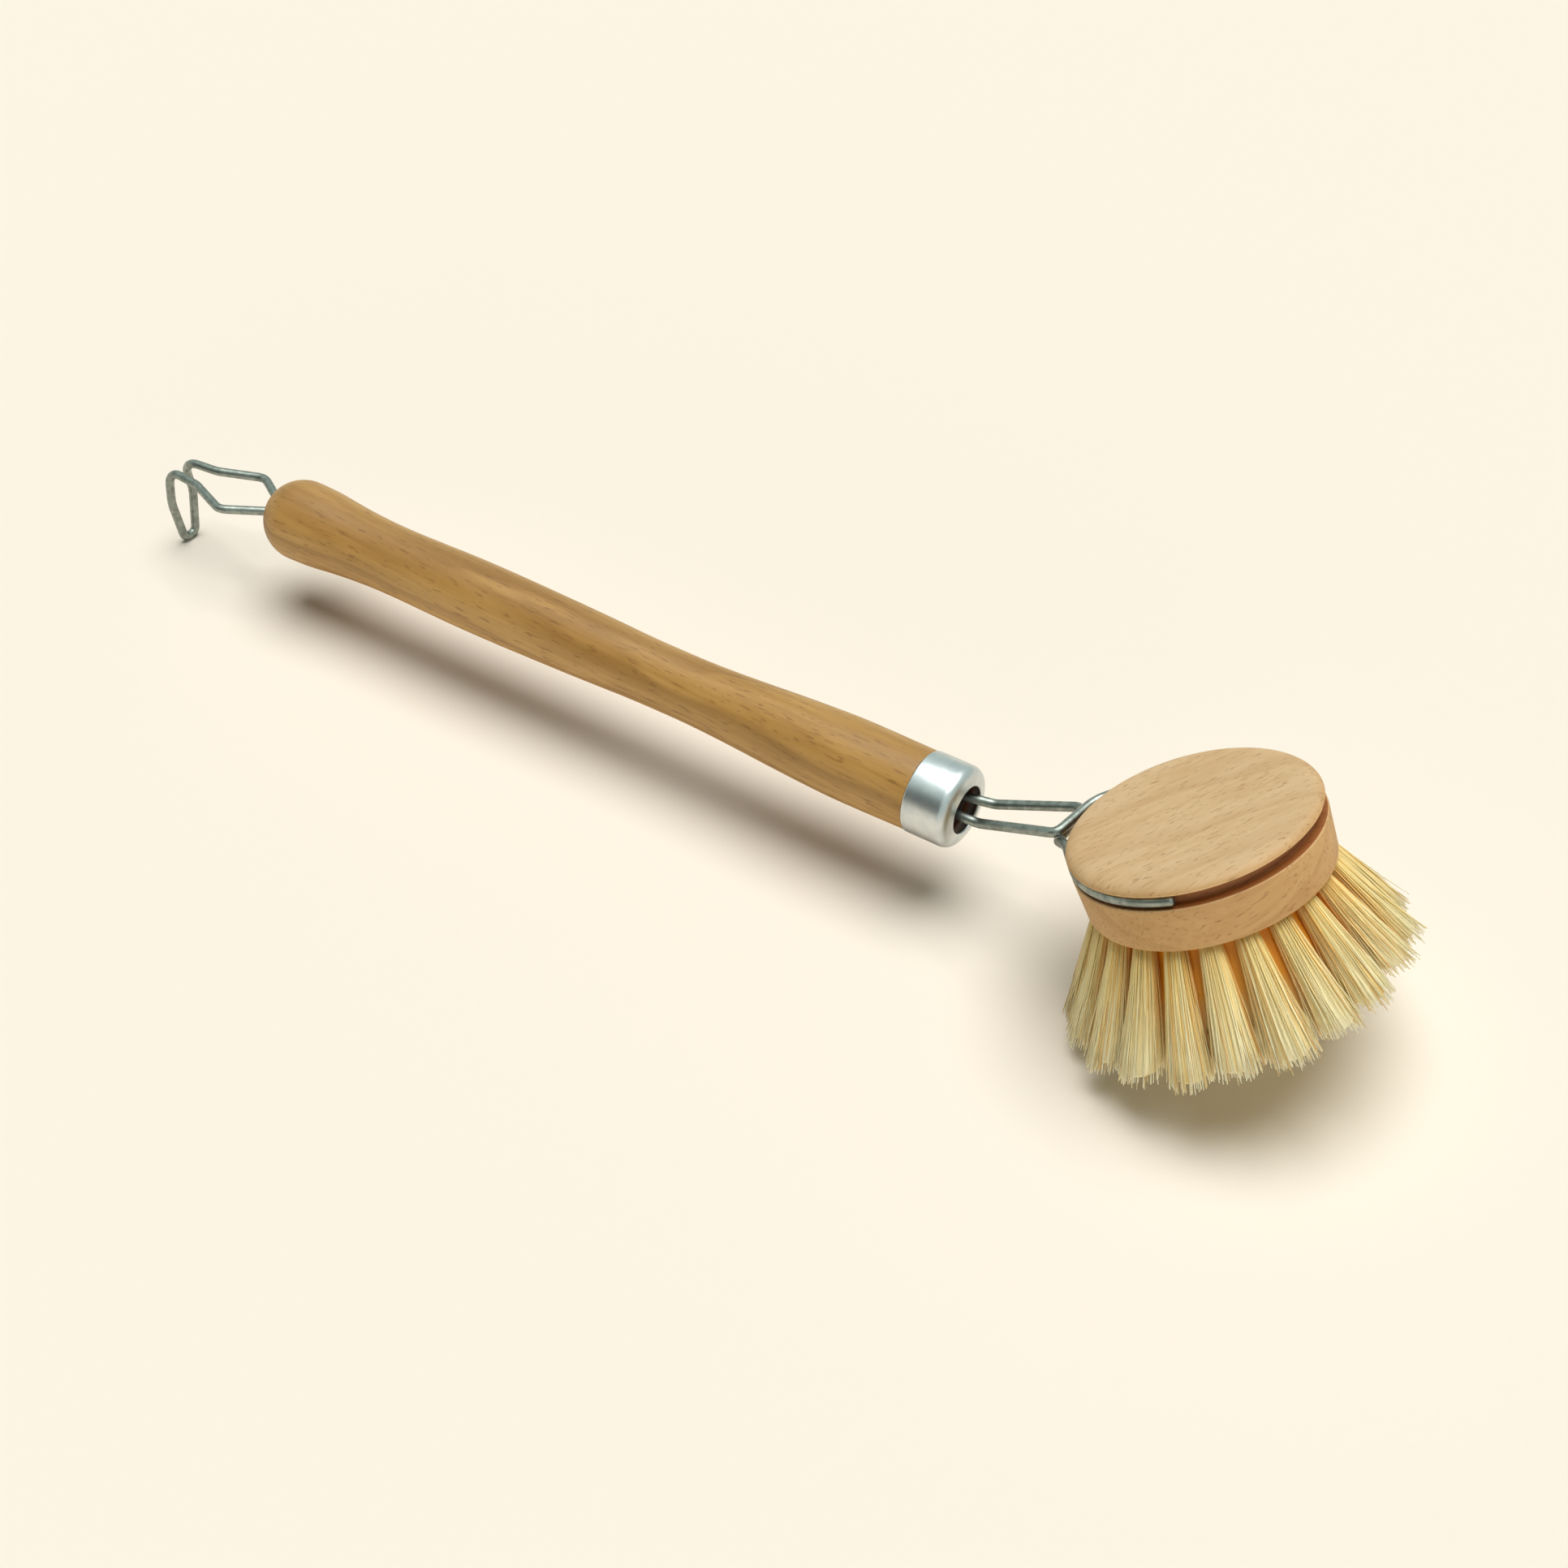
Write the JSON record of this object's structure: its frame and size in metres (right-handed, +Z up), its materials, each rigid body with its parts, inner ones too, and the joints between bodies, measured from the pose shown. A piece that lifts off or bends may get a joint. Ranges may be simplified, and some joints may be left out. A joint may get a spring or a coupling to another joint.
{
  "type": "dish brush",
  "caption": "Wooden dish brush: turned handle, sprung wire clip, replaceable tilted head with rings of fibre tufts, and a wire hanging hook.",
  "frame": {"origin": "on the floor under the middle of the brush's length", "axes": "+X from the hanging hook towards the head, +Z up from the floor, Y = 0 halves the brush"},
  "size_m": [0.3206, 0.0692, 0.0577],
  "materials": {
    "handle_wood": "oiled",
    "head_wood": "raw",
    "zinc_plate": "bright zinc plate",
    "spring_wire": "galvanised",
    "anchor_wire": "galvanised",
    "plant_fibre": "dry plant fibre"
  },
  "bodies": {
    "handle": {"handle": "handle_wood", "ferrule": "zinc_plate", "clip_root": "spring_wire", "hanging_hook": "spring_wire"},
    "head": {"head_block": "head_wood", "tuft_anchors": "anchor_wire", "bristles_outer": "plant_fibre", "bristles_second": "plant_fibre", "bristles_third": "plant_fibre", "bristles_centre": "plant_fibre"},
    "clip_right": {"clip_arm_right": "spring_wire"},
    "clip_left": {"clip_arm_left": "spring_wire"}
  },
  "joints": [
    {"name": "head_spin", "type": "hinge", "parent": "handle", "child": "head", "pos_m": [0.11447, 0, 0.04518], "axis": [-0.4163, 0, 0.9092], "continuous": true},
    {"name": "clip_right_spread", "type": "hinge", "parent": "handle", "child": "clip_right", "pos_m": [0.0587, -0.0024, 0.02432], "axis": [-0.4163, 0, 0.9092], "range_deg": [0, 5], "stiffness_Nm_per_rad": 2},
    {"name": "clip_left_spread", "type": "hinge", "parent": "handle", "child": "clip_left", "pos_m": [0.0587, 0.0024, 0.02432], "axis": [-0.4163, 0, 0.9092], "range_deg": [-5, 0], "stiffness_Nm_per_rad": 2}
  ],
  "couplings": [
    {"joint": "clip_left_spread", "follows": "clip_right_spread", "ratio": -1}
  ]
}
